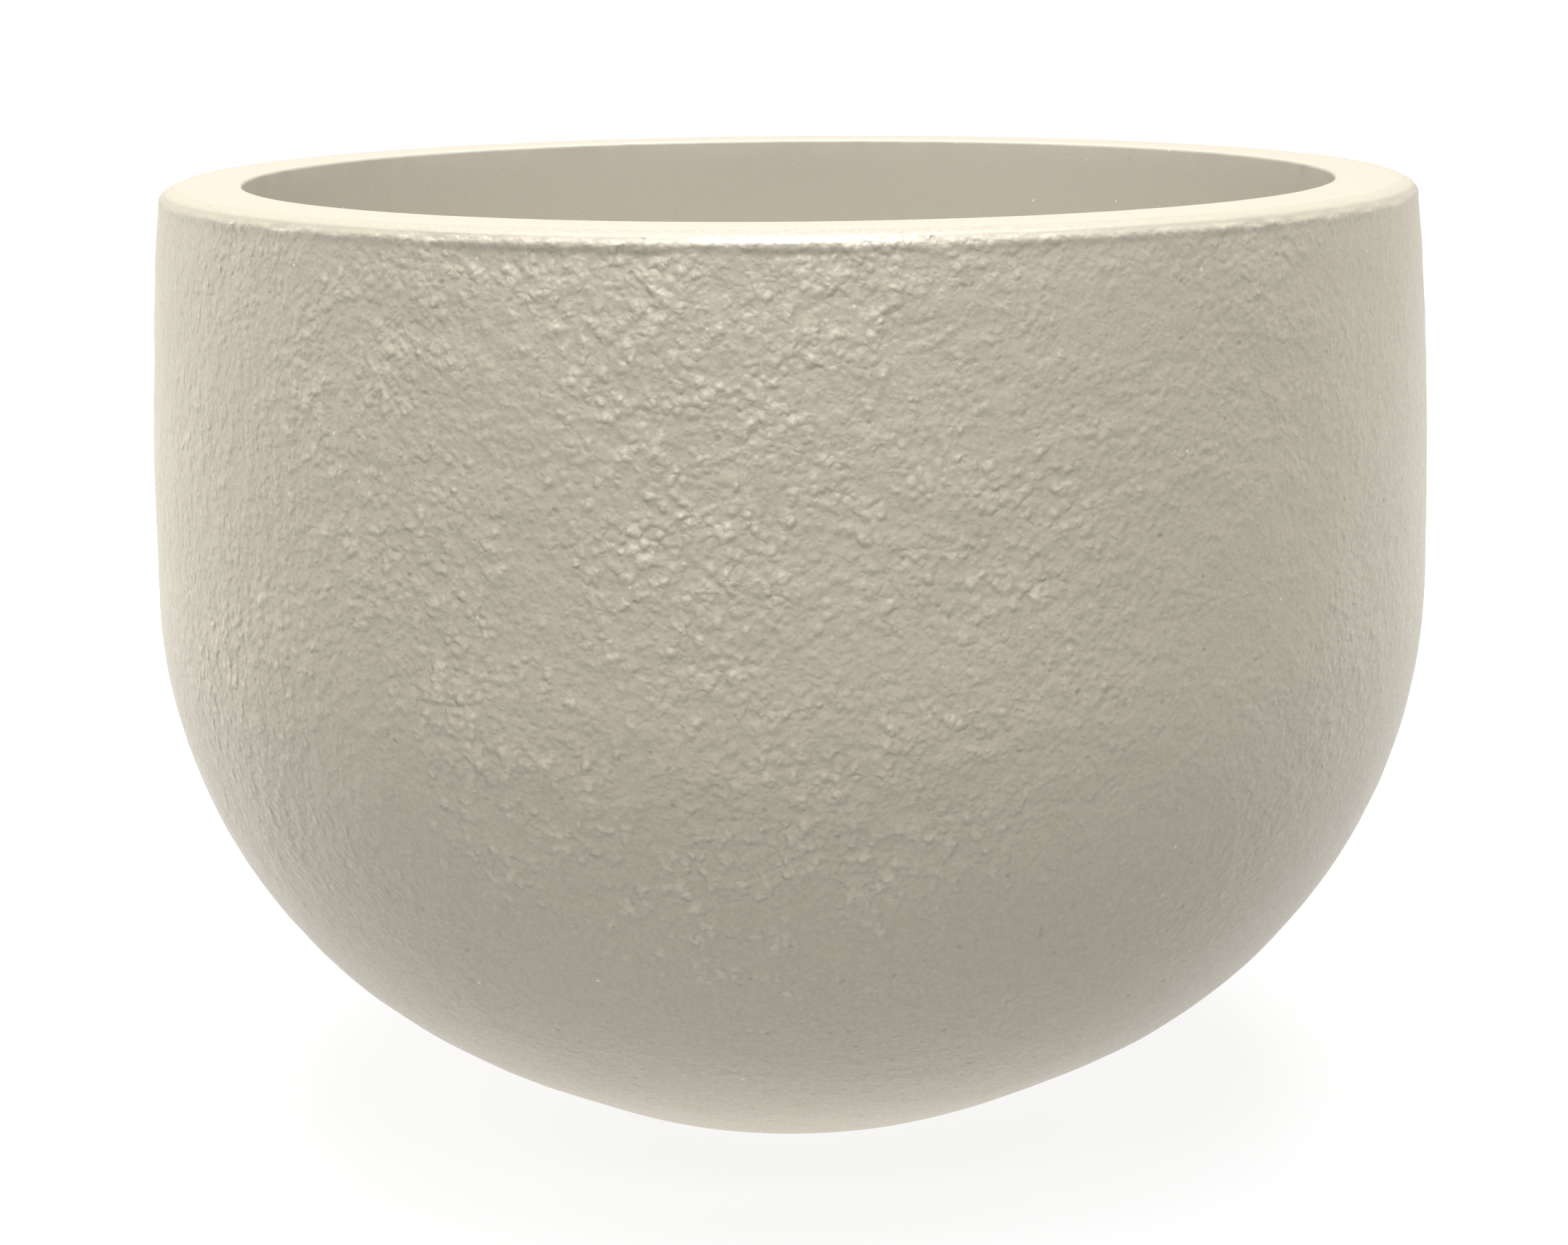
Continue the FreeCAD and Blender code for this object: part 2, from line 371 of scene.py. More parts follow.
# %% Worn line below the lip, and bruises along the rim's edges
worn_least = 0.14
worn_stretches = [(-8, 16, 0.86), (-48, 14, 0.25), (-122, 28, 0.70), (140, 24, 0.80)]
worn_unevenness = 0.4
lip_line_depth = 0.42 * MM
lip_line_start = 4.5 * MM
lip_line_end = 5.9 * MM
lip_fade = 10.0 * MM
lip_wander = 0.35 * MM
bruise_depth = 0.25 * MM
bruise_start = 0.2
bend_bruises = 0.5

lip_wanders = lip_wander * smooth_between(drop, 3.6 * MM, 4.2 * MM)
uneven_drop = drop + lip_wanders * swell(outer_places, 7 * MM, seed=8)
worn_line = worn_least + bells(outer_turn, worn_stretches)
worn_line *= np.clip(1 + worn_unevenness * swell(outer_places, 30 * MM, seed=5), 0, 2)
undercut = smooth_between(uneven_drop, lip_line_start, lip_line_end)
recovery = 1 - smooth_between(drop, lip_line_end, lip_line_end + lip_fade)
relief -= np.where(on_wall, lip_line_depth * worn_line * undercut * recovery, 0)
near_edge = ridge(drop, rim_edge_corner, 0.9 * MM) + bend_bruises * ridge(drop, rim_edge_bend, 0.5 * MM)
relief -= bruise_depth * near_edge * np.clip(swell(outer_places, 6 * MM, seed=6) - bruise_start, 0, 2)
outer_grid += relief.reshape(outer_grid.shape[:2])[:, :, None] * outer_directions
print(f"relief from {relief.min() / MM:.2f} to {relief.max() / MM:.2f} mm")

# %% [markdown]
# ## Recesses for the foot pads
#
# Each pad sits in a shallow round recess in the underside. A boolean cut would leave long thin triangles, so
# the underside's own points are lifted instead, where they lie within a pad's circle.

# %% Lift the underside at the pads
pad_names = [name for name in sorted(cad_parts) if name.startswith("foot_pad")]
pad_boxes = [np.array(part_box(name), float) for name in pad_names]
pad_low, pad_high = pad_boxes[0]
pad_radius = (pad_high[0] - pad_low[0]) / 2
recess_depth = pad_high[2] - underside_level
recess_radius = pad_radius + 0.9 * MM
recess_edge = 1.7 * MM
hidden_places = inner_grid.reshape(-1, 3)
for pad_box in pad_boxes:
    away = np.linalg.norm(hidden_places[:, :2] - pad_box.mean(axis=0)[:2], axis=1)
    inside = 1 - smooth_between(away, recess_radius, recess_radius + recess_edge)
    on_underside = hidden_places[:, 2] < underside_level + 0.1 * MM
    hidden_places[:, 2] += np.where(on_underside, inside * recess_depth, 0)
print(len(pad_names), "recesses, each", round(recess_depth / MM, 2), "mm deep")

# %% Stitch the two halves into one closed mesh
def ring_quads(rows, count, first):
    """Four-cornered faces between each row of a turned grid and the next, closing round the turn."""
    row, turn = np.meshgrid(np.arange(rows - 1), np.arange(count), indexing="ij")
    here = row * count
    above = here + count
    after = (turn + 1) % count
    corners = np.stack([here + turn, here + after, above + after, above + turn])
    return first + corners.reshape(4, -1).T


def step_triangles(fine_row, coarse_row, coarse_count, coarse_above):
    """Three triangles for each step of a coarse ring, joining it to two steps of the fine ring beside it."""
    step = np.arange(coarse_count)
    coarse = coarse_row + step
    coarse_after = coarse_row + (step + 1) % coarse_count
    fine = fine_row + 2 * step
    fine_middle = fine + 1
    fine_after = fine_row + (2 * step + 2) % (2 * coarse_count)
    faces = np.concatenate([
        np.stack([fine, fine_middle, coarse], axis=1),
        np.stack([fine_middle, coarse_after, coarse], axis=1),
        np.stack([fine_middle, fine_after, coarse_after], axis=1),
    ])
    return faces if coarse_above else faces[:, ::-1]


outer_rows = outer_grid.shape[0]
inner_rows = inner_grid.shape[0]
inner_first = outer_rows * around_outer
last_outer_row = (outer_rows - 1) * around_outer
last_inner_row = inner_first + (inner_rows - 1) * around_inner
shell_points = np.concatenate([outer_grid.reshape(-1, 3), hidden_places])
shell_quads = np.concatenate([
    ring_quads(outer_rows, around_outer, 0),
    ring_quads(inner_rows, around_inner, inner_first),
])
shell_triangles = np.concatenate([
    step_triangles(last_outer_row, inner_first, around_inner, True),
    step_triangles(0, last_inner_row, around_inner, False),
])
print("faces:", len(shell_quads), "quads and", len(shell_triangles), "triangles")

# %% Make the bowl's mesh
sharp_angle = math.radians(40)


def mesh_piece(name, points, faces):
    """A smooth-shaded object at the origin from points and faces, with edges over the sharp angle crisp."""
    mesh = bpy.data.meshes.new(name)
    mesh.from_pydata(points.tolist(), [], faces)
    mesh.validate()
    mesh.shade_smooth()
    mesh.set_sharp_from_angle(angle=sharp_angle)
    piece = bpy.data.objects.new(name, mesh)
    bpy.context.scene.collection.objects.link(piece)
    return piece


bowl = mesh_piece("cast_bowl", shell_points, shell_quads.tolist() + shell_triangles.tolist())
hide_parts("planter_shell")
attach(bowl, "planter")
print("cast bowl has", 2 * len(shell_quads) + len(shell_triangles), "triangles")

# %% [markdown]
# ## What the bowl's finish needs to know
#
# The finish is the same chain of nodes all over the bowl, so the mesh tells it where it is: how rough the
# place is, how far inside, how trowelled, where the rim's edge is rubbed to a gloss, and where shade is
# painted along the rim's edge and on the inner floor.

# %% Bands along the rim's edge
edge_reach = rim_radius - 7 * MM
rubbed_stretches = [(1, 9, 1.0), (-28, 6, 0.6), (-120, 14, 0.7), (150, 18, 1.0), (-165, 9, 0.6)]
rubbed_gain = 1.15
on_edge_side = outer_reach > edge_reach
lower_slope = np.where(on_edge_side, band(drop, 1.8 * MM, 2.1 * MM, 3.3 * MM, 3.6 * MM), 0)
upper_slope = np.where(on_edge_side, band(drop, 0.05 * MM, 0.3 * MM, 1.4 * MM, 1.8 * MM), 0)
rubbed = np.clip(rubbed_gain * bells(outer_turn, rubbed_stretches), 0, 1)
print("points on the lower slope:", int((lower_slope > 0.5).sum()))

# %% Painted shade on the rim's edge and the inner floor, and sand
groove_shade_strength = 0.7
lower_slope_shade = [(0, 60, 0.9)]
upper_slope_shade = [(0, 42, 1.9)]
smooth_sides = [(92, 26, 0.75), (-92, 26, 0.75)]
floor_shade_height = 95 * MM
# Painted shade: the groove under the lip and the front of the rim's two slopes are darkened in colour; the
# finish shows it only where the rim's gloss breaks.
groove_shade = np.where(on_wall, groove_shade_strength * worn_line * ridge(uneven_drop, 5.7 * MM, 0.8 * MM), 0)
painted_edge_shade = groove_shade + lower_slope * bells(outer_turn, lower_slope_shade) + upper_slope * bells(outer_turn, upper_slope_shade)
inner_side = (hidden_places[:, 2] > floor_level - 0.5 * MM).astype(float)
# Painted shade: the inside is darkened in colour towards its floor, fading out 95 mm above it.
painted_floor_shade = inner_side * (1 - smooth_between(hidden_places[:, 2], floor_level, floor_level + floor_shade_height))
on_mouth = np.clip((section_row - (outer_rows - len(mouth))) / (len(mouth) - 1), 0, 1)
print(f"dust up to {painted_edge_shade.max():.2f}, soil up to {painted_floor_shade.max():.2f}")

# %% Hold these numbers at the mesh's points
def hold(name, outer_values, hidden_values):
    """Keeps a number at each point of the bowl: the outer half's first, then the hidden half's."""
    values = np.zeros(len(shell_points), np.float32)
    values[:inner_first] = outer_values
    values[inner_first:] = hidden_values
    attribute = bowl.data.attributes.new(name, "FLOAT", "POINT")
    attribute.data.foreach_set("value", values)


hold("cast_roughness", outer_roughness, 0)
hold("polished", lower_slope * rubbed, 0)
hold("inside", on_mouth, inner_side)
hold("painted_floor_shade", 0, painted_floor_shade)
hold("painted_edge_shade", painted_edge_shade, 0)
hold("sandy", 1 - bells(outer_turn, smooth_sides), 1)
hold("trowelled", 1 - smooth_between(drop, 3.3 * MM, 3.9 * MM), 0)
print("the bowl's points hold", len(bowl.data.attributes), "attributes")

# %% [markdown]
# ## Finishes made of nodes
#
# A finish is a chain of texture nodes that read the piece's own Object coordinates, so a pattern stays in
# place on the piece from every side. Small helpers keep each chain short to write.

# %% Node helpers
class Finish:
    """A new material, with short ways to add texture nodes and join them to its shader."""

    def __init__(self, name):
        self.material = bpy.data.materials.new(name)
        self.material.use_nodes = True
        self.nodes = self.material.node_tree.nodes
        self.links = self.material.node_tree.links
        self.shader = self.nodes["Principled BSDF"]
        self.place = self.nodes.new("ShaderNodeTexCoord").outputs["Object"]

    def put(self, socket, value):
        """Joins an output to an input, or sets the input to a plain value."""
        if isinstance(value, bpy.types.NodeSocket):
            self.links.new(value, socket)
        else:
            socket.default_value = value

    def shade(self, name, value):
        """Joins an output to one of the shader's own inputs, or sets that input to a plain value."""
        self.put(self.shader.inputs[name], value)

    def noise(self, scale, detail=2.0, roughness=0.5, vector=None):
        """Cloudy noise from 0 to 1, with scale swells in each metre."""
        node = self.nodes.new("ShaderNodeTexNoise")
        self.put(node.inputs["Vector"], vector or self.place)
        node.inputs["Scale"].default_value = scale
        node.inputs["Detail"].default_value = detail
        node.inputs["Roughness"].default_value = roughness
        return node.outputs["Fac"]

    def wander(self, scale, reach):
        """The place on the piece, pushed about by noise of that scale, so that patterns turn uneven."""
        noise = self.nodes.new("ShaderNodeTexNoise")
        self.put(noise.inputs["Vector"], self.place)
        noise.inputs["Scale"].default_value = scale
        noise.inputs["Detail"].default_value = 1.0
        push = self.nodes.new("ShaderNodeVectorMath")
        push.operation = "MULTIPLY_ADD"
        self.put(push.inputs[0], noise.outputs["Color"])
        push.inputs[1].default_value = (reach, reach, reach)
        self.put(push.inputs[2], self.place)
        return push.outputs["Vector"]

    def cells(self, scale, vector):
        """Scattered cells, scale of them in each metre: distance to a cell's middle, and its own number."""
        node = self.nodes.new("ShaderNodeTexVoronoi")
        self.put(node.inputs["Vector"], vector)
        node.inputs["Scale"].default_value = scale
        return node.outputs["Distance"], node.outputs["Color"]

    def stretched(self, scale, vector=None):
        """The place on the piece, with each of its three lengths multiplied, so that patterns stretch."""
        node = self.nodes.new("ShaderNodeMapping")
        node.inputs["Scale"].default_value = scale
        self.put(node.inputs["Vector"], vector or self.place)
        return node.outputs["Vector"]

    def moved(self, shift):
        """The place on the piece, shifted by three lengths."""
        node = self.nodes.new("ShaderNodeVectorMath")
        node.operation = "ADD"
        self.put(node.inputs[0], self.place)
        node.inputs[1].default_value = shift
        return node.outputs["Vector"]

    def length(self, vector):
        """The length of a vector, such as the distance of a place from the middle of the floor."""
        node = self.nodes.new("ShaderNodeVectorMath")
        node.operation = "LENGTH"
        self.put(node.inputs[0], vector)
        return node.outputs["Value"]

    def math(self, operation, first, second=0.0):
        """One arithmetic step on two numbers."""
        node = self.nodes.new("ShaderNodeMath")
        node.operation = operation
        self.put(node.inputs[0], first)
        self.put(node.inputs[1], second)
        return node.outputs["Value"]

    def times(self, first, second):
        """One number multiplied by another."""
        return self.math("MULTIPLY", first, second)

    def plus(self, first, second):
        """The sum of two numbers."""
        return self.math("ADD", first, second)

    def without(self, amount):
        """1 less an amount, for whatever it leaves over."""
        return self.math("SUBTRACT", 1.0, amount)

    def ramp(self, value, low, high, to_low=0.0, to_high=1.0):
        """A smooth step from to_low to to_high as the value goes from low to high."""
        node = self.nodes.new("ShaderNodeMapRange")
        node.interpolation_type = "SMOOTHSTEP"
        ends = {"From Min": low, "From Max": high, "To Min": to_low, "To Max": to_high}
        for name, number in ends.items():
            node.inputs[name].default_value = number
        self.put(node.inputs["Value"], value)
        return node.outputs["Result"]

    def blend(self, amount, first, second):
        """A colour that goes from the first to the second as the amount goes from 0 to 1."""
        node = self.nodes.new("ShaderNodeMix")
        node.data_type = "RGBA"
        self.put(node.inputs["Factor"], amount)
        self.put(node.inputs[6], first)
        self.put(node.inputs[7], second)
        return node.outputs[2]

    def attribute(self, name):
        """A number that the mesh holds at each of its points."""
        node = self.nodes.new("ShaderNodeAttribute")
        node.attribute_name = name
        return node.outputs["Fac"]

    def bump(self, height, distance):
        """Tilts the shading as if the surface stood out by height times distance."""
        node = self.nodes.new("ShaderNodeBump")
        node.inputs["Strength"].default_value = 1.0
        node.inputs["Distance"].default_value = distance
        self.put(node.inputs["Height"], height)
        self.shade("Normal", node.outputs["Normal"])


print("node helpers ready")

# %% [markdown]
# ## Relief of the stone
#
# Up close the coarse patches are grains of the mix, two to four millimetres across, that stand out of the
# skin as rounded caps, crowded together with creases between them. Plain noise gives soft hills, so the
# grains are caps over scattered cells, each with its own size. One layer of caps looks like loose pebbles,
# so two are added. The places are pushed about by noise first, so that no cap is a true circle. Here and
# there the skin stands one step higher, with a wandering edge, and everything has a sandy texture.

# %% Lumps, grains and flakes
lump_scale = 215.0
lump_height = 0.48
cap_scales = (310.0, 270.0)
cap_height = 0.66
small_scale = 560.0
small_height = 0.23
flake_scale = 38.0
flake_height = 0.07
clump_scale = 70.0


def lumps(finish, scale, low, high, vector):
    """Uneven rounded lumps: noise of that scale, squeezed smoothly from 0 at low to 1 at high."""
    return finish.ramp(finish.noise(scale, detail=1.0, roughness=0.4, vector=vector), low, high)


def grains(finish, scale, vector):
    """Rounded caps over scattered cells: radius * (1 - (distance / radius)^2)^2, each of its own radius."""
    distance, own = finish.cells(scale, vector)
    radius = finish.ramp(own, 0.20, 0.80, 0.36, 0.72)
    share = finish.math("DIVIDE", distance, radius)
    cap = finish.math("MAXIMUM", finish.without(finish.times(share, share)), 0.0)
    return finish.times(finish.times(cap, cap), radius)


def flakes(finish):
    """A low step along the level lines of cloudy noise, at two levels, from 0 to 2."""
    clouds = finish.noise(flake_scale, detail=4.0, roughness=0.55)
    return finish.plus(finish.ramp(clouds, 0.43, 0.47), finish.ramp(clouds, 0.56, 0.60))


def lumpy_height(finish, uneven):
    """Height of the lumps in millimetres: where the cast is smoother, coarse lumps fade before fine ones."""
    rough = finish.attribute("cast_roughness")
    large = finish.times(lumps(finish, lump_scale, 0.34, 0.72, uneven), lump_height)
    more_uneven = finish.wander(210.0, 2.0 * MM)
    caps = finish.plus(grains(finish, cap_scales[0], uneven), grains(finish, cap_scales[1], more_uneven))
    clumps = finish.ramp(finish.noise(clump_scale, detail=3.0), 0.36, 0.58, 0.50, 1.0)
    coarse = finish.times(finish.plus(large, finish.times(caps, cap_height)), clumps)
    coarse = finish.plus(coarse, finish.times(flakes(finish), flake_height))
    coarse = finish.times(coarse, finish.math("POWER", rough, 1.2))
    small = finish.times(grains(finish, small_scale, uneven), small_height)
    fine = finish.times(small, finish.math("POWER", rough, 0.6))
    return finish.plus(coarse, finish.times(fine, finish.attribute("sandy")))


print("relief helpers ready")

# %% [markdown]
# ## Colour of the stone
#
# The mix is one warm cream-grey. It is a little paler in slow clouds, darker in fine mottles, and a few
# grains of white quartz show. The tops of its lumps are paler, as wear and as a painted highlight. Painted
# shade darkens its air holes and pits, the groove under the lip, the front of the rim's slopes, and the
# inside towards its floor. Along the front of the rim, the edge is rubbed to a gloss with ragged ends.

# %% Colours
stone_colour = (0.603, 0.552, 0.446, 1.0)
stone_pale = (0.655, 0.601, 0.491, 1.0)
stone_dark = (0.547, 0.499, 0.400, 1.0)
# Paler colour for the tops of the lumps: wear, and also a painted highlight on the tops.
stone_worn_and_highlight = (0.755, 0.692, 0.566, 1.0)
stone_rim = (0.506, 0.462, 0.370, 1.0)
stone_inside = (0.572, 0.544, 0.478, 1.0)
# Painted shade: the darker colour that the inside takes towards its floor.
stone_floor_shade = (0.400, 0.368, 0.310, 1.0)
# Painted shade: the darker colour for the air holes and pits, the groove under the lip and the front of the
# rim's slopes.
stone_painted_shade = (0.380, 0.345, 0.278, 1.0)
quartz_colour = (0.900, 0.880, 0.800, 1.0)
print("nine colours of stone")

# %% Dots and gloss
def sparse_dots(finish, scale, share, inner, outer, vector):
    """1 in the middle of a share of scattered cells, falling to 0 between the inner and outer distance."""
    distance, own = finish.cells(scale, vector)
    picked = finish.ramp(own, 1.0 - share, 1.002 - share)
    return finish.times(finish.ramp(distance, inner, outer, 1.0, 0.0), picked)


def broken_gloss(finish, polished):
    """Gloss with ragged ends: on where polished + 2 * (upright streaks of noise - 0.5) is over 0.65."""
    streaks = finish.noise(430.0, detail=2.0, vector=finish.stretched((1.0, 1.0, 0.25)))
    streaks = finish.times(finish.math("SUBTRACT", streaks, 0.5), 2.0)
    return finish.ramp(finish.plus(polished, streaks), 0.55, 0.75)


print("dots and gloss ready")

# %% The stone finish
sand_scale = 1100.0
sand_height = 0.070
hole_depth = 0.22
coat_roughness = 0.08
coat_ior = 2.3


def stone_tint(finish, stand, holes, uneven, mottle, gloss):
    """Colour of the stone: clouds, mottles, rim, inside, painted shade on the floor and the rim's edge in
    turn, then paler tops (wear and painted highlight), painted shade in the pits, and quartz dots.
    """
    clouds = finish.ramp(finish.noise(14.0, detail=3.0), 0.30, 0.70)
    specks = sparse_dots(finish, 150.0, 0.20, 0.05, 0.10, uneven)
    # Small dark dots stand in as painted shade in pits too fine for the bump.
    pit_shade_dots = sparse_dots(finish, 330.0, 0.22, 0.04, 0.22, finish.stretched((1.0, 1.0, 1.7), uneven))
    floor_shade = finish.times(finish.attribute("painted_floor_shade"), finish.ramp(clouds, 0.0, 1.0, 0.65, 0.90))
    edge_shade = finish.times(finish.attribute("painted_edge_shade"), finish.ramp(mottle, 0.0, 1.0, 0.18, 0.40))
    layers = [
        (finish.times(clouds, 0.35), stone_pale),
        (finish.times(mottle, 0.80), stone_dark),
        (finish.times(finish.attribute("trowelled"), 0.85), stone_rim),
        (finish.times(finish.attribute("inside"), 0.75), stone_inside),
        # painted shade on the inner floor
        (floor_shade, stone_floor_shade),
        # painted shade along the rim's edge, where the gloss breaks
        (finish.times(edge_shade, finish.without(gloss)), stone_painted_shade),
        # paler tops of the lumps: wear, and a painted highlight
        (finish.ramp(stand, 0.32, 0.95, 0.0, 0.80), stone_worn_and_highlight),
        # painted shade in the air holes and small pits
        (finish.times(finish.math("MAXIMUM", holes, pit_shade_dots), 0.50), stone_painted_shade),
        (finish.times(specks, 0.80), quartz_colour),
    ]
    colour = stone_colour
    for amount, layer in layers:
        colour = finish.blend(amount, colour, layer)
    return colour


def cast_stone():
    """Lumps, sand and air holes as bump, a layered colour, and gloss where the rim's edge is rubbed."""
    finish = Finish("cast_stone")
    uneven = finish.wander(300.0, 1.3 * MM)
    outside = finish.without(finish.attribute("inside"))
    holes = finish.times(sparse_dots(finish, 170.0, 0.30, 0.04, 0.20, uneven), outside)
    stand = lumpy_height(finish, uneven)
    sand = finish.noise(sand_scale, detail=2.0, roughness=0.6)
    sand = finish.times(sand, finish.attribute("sandy"))
    height = finish.plus(stand, finish.times(sand, sand_height))
    height = finish.math("SUBTRACT", height, finish.times(holes, hole_depth))
    finish.bump(height, 1.0 * MM)

    polished = finish.attribute("polished")
    gloss = broken_gloss(finish, polished)
    mottle = finish.ramp(finish.noise(720.0, detail=2.0, roughness=0.6), 0.30, 0.70)
    finish.shade("Base Color", stone_tint(finish, stand, holes, uneven, mottle, gloss))
    matte = finish.ramp(mottle, 0.0, 1.0, 0.36, 0.46)
    finish.shade("Roughness", finish.times(matte, finish.without(finish.times(polished, 0.50))))
    finish.shade("Coat Weight", gloss)
    finish.shade("Coat Roughness", coat_roughness)
    finish.shade("Coat IOR", coat_ior)
    finish.shade("Specular IOR Level", 0.5)
    return finish.material


bowl.data.materials.append(cast_stone())
print("stone finish has", len(bowl.data.materials[0].node_tree.nodes), "nodes")

# %% [markdown]
# ## Rubber and plastic
#
# The plug and pads are dark moulded rubber, with a dusty bloom and faint flow marks. The sleeve is grey
# moulded plastic with a fine spark-eroded grain. Their shapes are already right, so only their finish
# changes.

# %% Rubber and plastic finishes
plug_colour = (0.030, 0.030, 0.031, 1)
plug_bloom = (0.060, 0.058, 0.055, 1)
pad_colour = (0.040, 0.039, 0.038, 1)
pad_bloom = (0.075, 0.072, 0.068, 1)
sleeve_colour = (0.230, 0.222, 0.205, 1)
sleeve_bloom = (0.290, 0.280, 0.260, 1)
uneven_gloss = 0.07


def moulded(name, colour, bloom, grain_scale, grain_depth, roughness):
    """A moulded finish: one colour clouded by a paler bloom, a fine grain as bump, and uneven gloss."""
    finish = Finish(name)
    clouds = finish.ramp(finish.noise(85.0, detail=4.0, roughness=0.6), 0.35, 0.75)
    flow = finish.noise(420.0, detail=2.0)
    matte = finish.ramp(flow, 0.25, 0.75, roughness - uneven_gloss, roughness + uneven_gloss)
    finish.shade("Base Color", finish.blend(clouds, colour, bloom))
    finish.shade("Roughness", matte)
    finish.bump(finish.noise(grain_scale, detail=2.0), grain_depth)
    return finish.material


def dress(node_name, material):
    """Gives a carried-over node its finish, in each of its material slots."""
    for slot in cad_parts[node_name].material_slots:
        slot.material = material


dress("drain_plug", moulded("plug_rubber", plug_colour, plug_bloom, 1800.0, 0.12 * MM, 0.62))
pad_rubber = moulded("pad_rubber", pad_colour, pad_bloom, 1500.0, 0.15 * MM, 0.75)
dress("drain_sleeve", moulded("sleeve_plastic", sleeve_colour, sleeve_bloom, 2200.0, 0.06 * MM, 0.48))
for pad_name in pad_names:
    dress(pad_name, pad_rubber)
print("dressed the plug, the sleeve and", len(pad_names), "pads")

# %% [markdown]
# ## Floor and surround
#
# The bowl stands on a lit white table in a white room. The camera and the gloss see the table and the room
# as plain white, with a soft shadow under the bowl. The light that the table gives to the bowl is a glow
# under and around the foot, which lifts the lower edge of the belly out of the shade. A larger glow would
# wash out the shade above it.

# %% Floor
floor_reach = 6.0
floor_mesh = bpy.data.meshes.new("floor")
corners = floor_reach * np.array([(-1, -1, 0), (1, -1, 0), (1, 1, 0), (-1, 1, 0)], float)
floor_mesh.from_pydata(corners.tolist(), [], [(0, 1, 2, 3)])
floor = bpy.data.objects.new("floor", floor_mesh)
bpy.context.scene.collection.objects.link(floor)
print("floor is", 2 * floor_reach, "m wide")

# %% Table finish
table_glow = 0.90
glow_full_radius = 0.07
glow_end_radius = 0.27
from_glow_middle = (0.015, 0.0, 0.0)
table_white = 0.84
table_white_far = 1.0
white_near_radius = 0.35
white_far_radius = 0.90
table_grey = (0.375, 0.375, 0.375, 1)
shadow_grey = (0.16, 0.16, 0.16, 1)


def table_finish():
    """Matte grey with a round glow for light that meets the bowl; white with a soft shadow for the eye."""
    finish = Finish("floor")
    seen = finish.nodes.new("ShaderNodeLightPath")
    for_eye = finish.math("MAXIMUM", seen.outputs["Is Camera Ray"], seen.outputs["Is Glossy Ray"])
    for_eye = finish.math("MAXIMUM", for_eye, seen.outputs["Is Transmission Ray"])
    glow_radius = finish.length(finish.moved(from_glow_middle))
    glow = finish.ramp(glow_radius, glow_full_radius, glow_end_radius, table_glow, 0.0)
    radius = finish.length(finish.place)
    white = finish.ramp(radius, white_near_radius, white_far_radius, table_white, table_white_far)
    strength = finish.plus(finish.times(white, for_eye), finish.times(glow, finish.without(for_eye)))
    finish.shade("Base Color", finish.blend(for_eye, table_grey, shadow_grey))
    finish.shade("Roughness", 1.0)
    finish.shade("Specular IOR Level", 0.0)
    finish.shade("Emission Color", (1, 1, 1, 1))
    finish.shade("Emission Strength", strength)
    return finish.material


floor_mesh.materials.append(table_finish())
print("table glows to", glow_end_radius, "m from the axis")

# %% Surround
surround_light = 0.005
surround_gloss = 0.40


def white_surround():
    """Plain white for the camera, dimmer in gloss, and a faint even light for everything else."""
    world = bpy.data.worlds.new("surround")
    world.use_nodes = True
    nodes = world.node_tree.nodes
    links = world.node_tree.links
    seen = nodes.new("ShaderNodeLightPath")
    levels = {"Is Glossy Ray": surround_gloss, "Is Transmission Ray": 1.0, "Is Camera Ray": 1.0}
    strength = surround_light
    for ray, level in levels.items():
        step = nodes.new("ShaderNodeMix")
        step.inputs["B"].default_value = level
        links.new(seen.outputs[ray], step.inputs["Factor"])
        if isinstance(strength, float):
            step.inputs["A"].default_value = strength
        else:
            links.new(strength, step.inputs["A"])
        strength = step.outputs["Result"]
    links.new(strength, nodes["Background"].inputs["Strength"])
    nodes["Background"].inputs["Color"].default_value = (1, 1, 1, 1)
    bpy.context.scene.world = world


white_surround()
print("surround lights the bowl at", surround_light)

# %% [markdown]
# ## Lamps
#
# All lamps are large for their distance, and soft. The one overhead does most of the work: it makes the rim
# the brightest part, shades each lump on its lower side, and is mirrored in the rubbed edge of the rim as a
# bright line. Two lamps in front and a weak one at the right fill the shade, and another fills the back. Two
# upright strips close to the sides light only the outline, the left one more. Strong lamps far behind could
# do that too, but they would bleach the back.

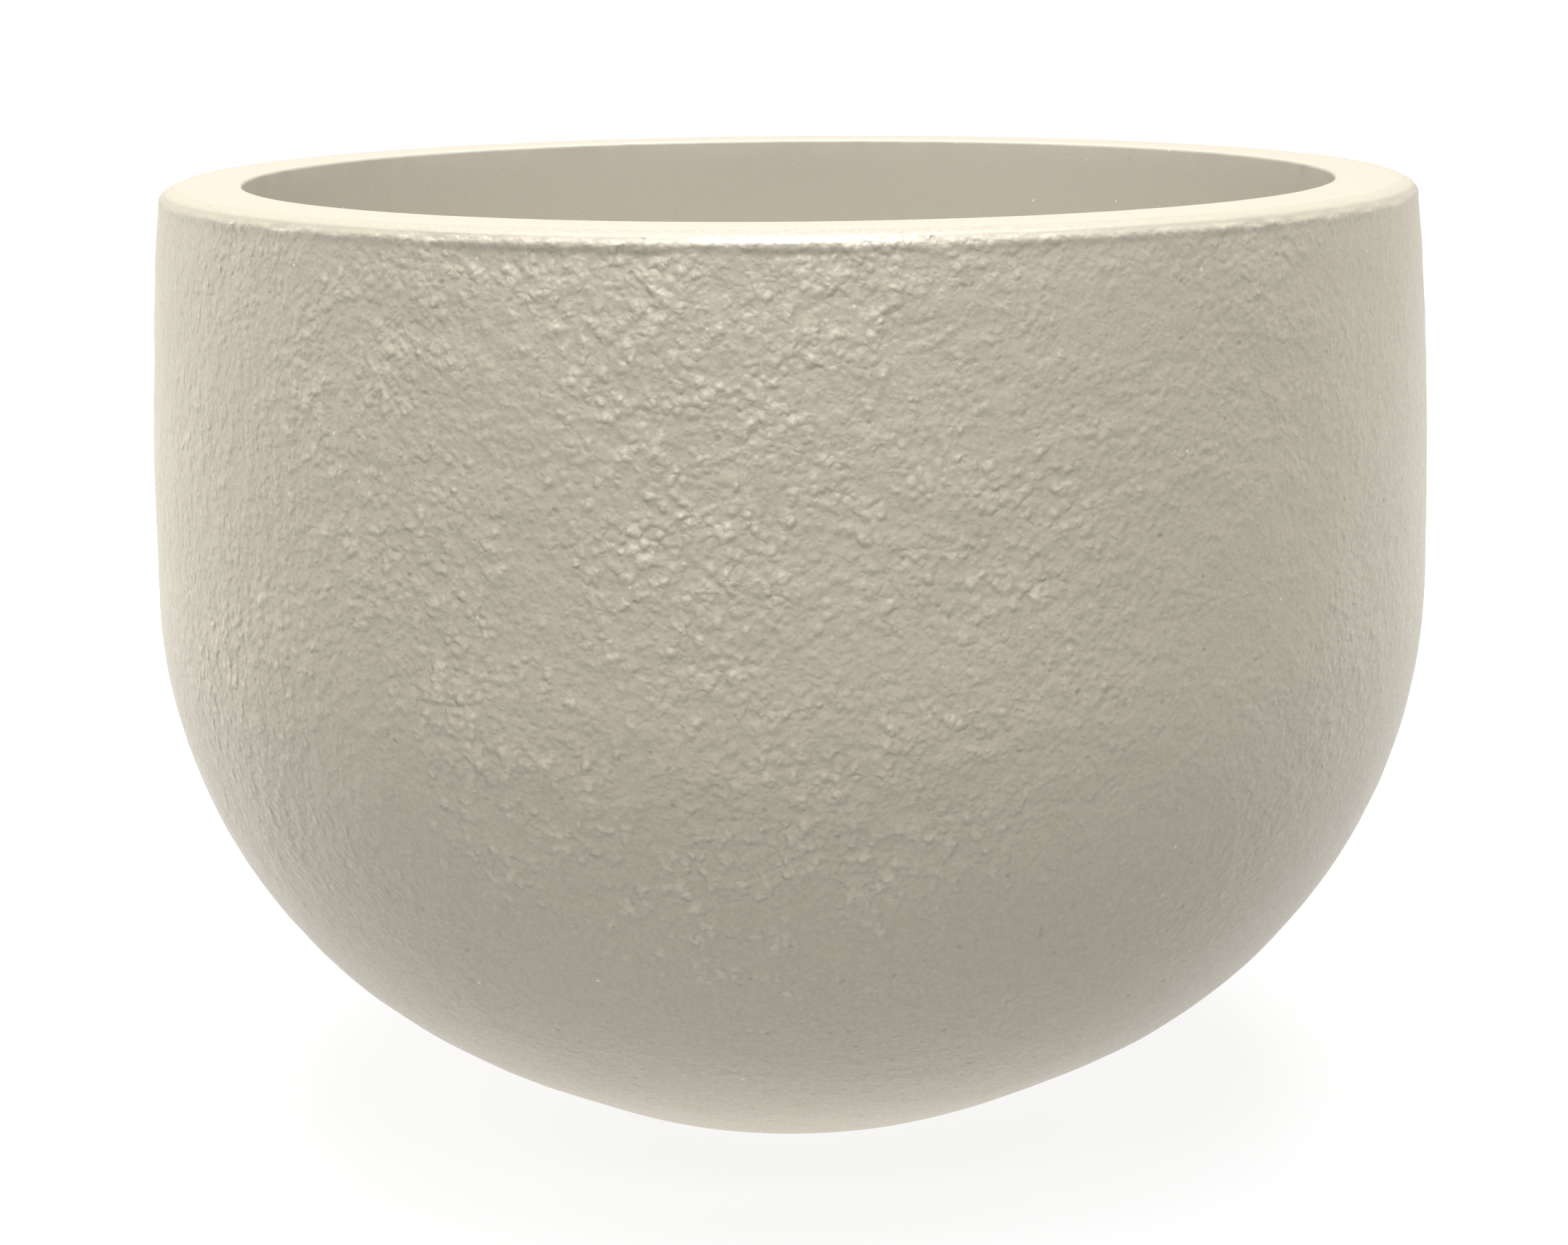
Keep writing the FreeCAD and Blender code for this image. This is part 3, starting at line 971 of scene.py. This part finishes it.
# %% Lamp helpers
def softbox(name, place, aim, size, power, gloss=True):
    """A rectangular area lamp at a place, facing the aim point, with its size and its power in watts.

    A lamp without gloss lights matte surfaces only, like a wall of diffusing cloth.
    """
    lamp = bpy.data.lights.new(name, "AREA")
    lamp.shape = "RECTANGLE"
    lamp.size, lamp.size_y = size
    lamp.energy = power
    holder = bpy.data.objects.new(name, lamp)
    place = np.array(place, float)
    back = place - np.array(aim, float)
    back /= np.linalg.norm(back)
    side = np.cross([0.0, 1.0, 0.0] if abs(back[2]) > 0.9 else [0.0, 0.0, 1.0], back)
    side /= np.linalg.norm(side)
    up = np.cross(back, side)
    axes = np.stack([side, up, back, place], axis=1)
    holder.matrix_world = Matrix(axes.tolist() + [[0, 0, 0, 1]])
    holder.visible_glossy = gloss
    bpy.context.scene.collection.objects.link(holder)
    return holder


bowl_middle = (0.0, 0.0, 0.17)


def around(turn, height, distance):
    """A place at that turn from the front (positive towards +X), angle above level and distance."""
    turn = math.radians(turn)
    height = math.radians(height)
    level = distance * math.cos(height)
    return (level * math.sin(turn), -level * math.cos(turn), bowl_middle[2] + distance * math.sin(height))


print("lamps aim at", bowl_middle)

# %% Lamps
lamps = [
    softbox("overhead", around(0, 88, 1.6), bowl_middle, (1.6, 1.6), 50.5),
    softbox("front", around(0, 43, 1.8), bowl_middle, (1.6, 0.36), 13.0),
    softbox("left_front", around(-50, 38, 1.8), bowl_middle, (0.7, 0.6), 3.0),
    softbox("right", around(80, 20, 1.7), bowl_middle, (0.9, 1.2), 1.5),
    softbox("left_side", around(-104, 7, 0.58), bowl_middle, (0.14, 0.42), 1.75, gloss=False),
    softbox("right_side", around(104, 7, 0.58), bowl_middle, (0.14, 0.42), 1.12, gloss=False),
    softbox("back", around(180, 40, 1.8), bowl_middle, (1.6, 0.6), 9.3, gloss=False),
]
print(len(lamps), "lamps, together", sum(lamp.data.energy for lamp in lamps), "W")

# %% Camera
image_width = 2156
camera_distance = 1.0
camera_level = 365.2 * MM
pitch_down = math.radians(12.247)
camera_roll = -math.radians(0.483)
focal_pixels = 4358.6
bowl_right_pixels = 10.9

camera_data = bpy.data.cameras.new("camera")
camera_data.sensor_width = 36.0
camera_data.lens = focal_pixels / image_width * camera_data.sensor_width
camera_data.shift_x = -bowl_right_pixels / image_width
camera_data.clip_start = 0.01
camera = bpy.data.objects.new("camera", camera_data)
tilt = Matrix.Rotation(math.pi / 2 - pitch_down, 4, "X") @ Matrix.Rotation(camera_roll, 4, "Z")
camera.matrix_world = Matrix.Translation((0.0, -camera_distance, camera_level)) @ tilt
bpy.context.scene.collection.objects.link(camera)
bpy.context.scene.camera = camera
bpy.context.scene.view_settings.view_transform = "Standard"
print(f"lens {camera_data.lens:.1f} mm")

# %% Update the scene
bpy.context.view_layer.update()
